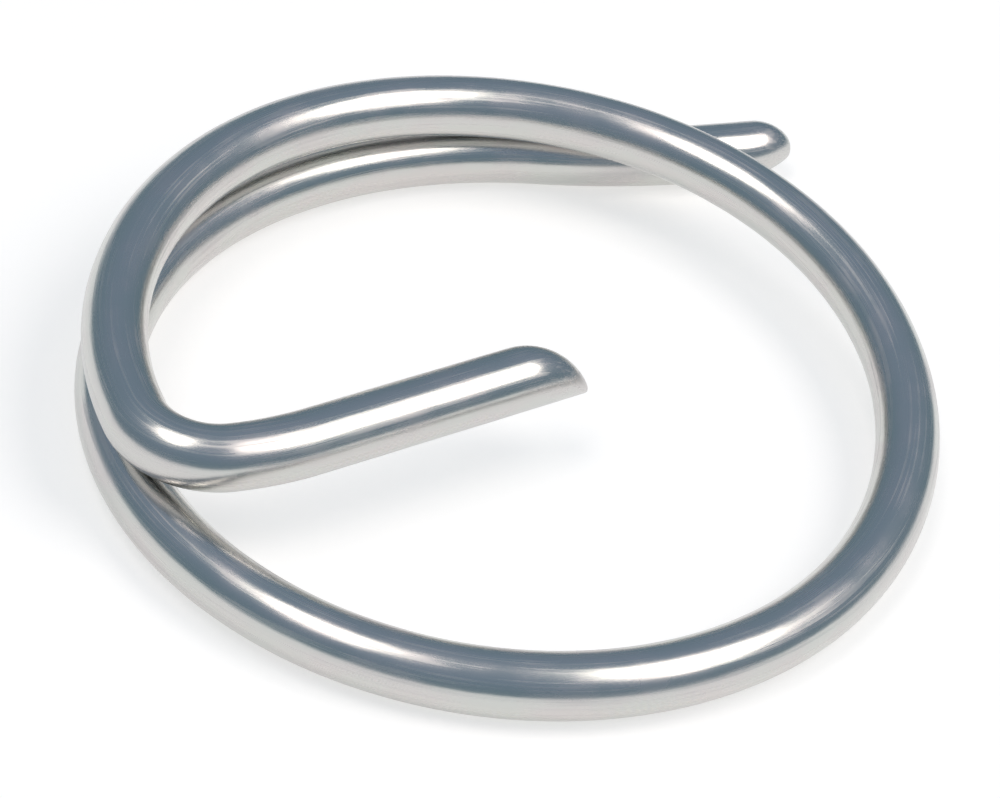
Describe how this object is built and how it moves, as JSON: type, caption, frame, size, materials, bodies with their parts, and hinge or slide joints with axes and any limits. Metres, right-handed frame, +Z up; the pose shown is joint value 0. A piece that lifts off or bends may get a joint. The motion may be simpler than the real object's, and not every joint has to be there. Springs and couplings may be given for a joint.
{
  "type": "ring cotter",
  "caption": "Ring cotter wound from round stainless wire, with a straight leg bent across the coil and a short tail splayed outwards.",
  "frame": {"origin": "on the coil's axis, in the plane it rests on", "axes": "+Z up along the coil axis, +X along the leg towards its point"},
  "size_m": [0.0234, 0.0202, 0.0033],
  "materials": {
    "stainless_wire": "bright drawn stainless wire, polished smooth"
  },
  "bodies": {
    "root": {"ring_wire": "stainless_wire"}
  },
  "joints": []
}
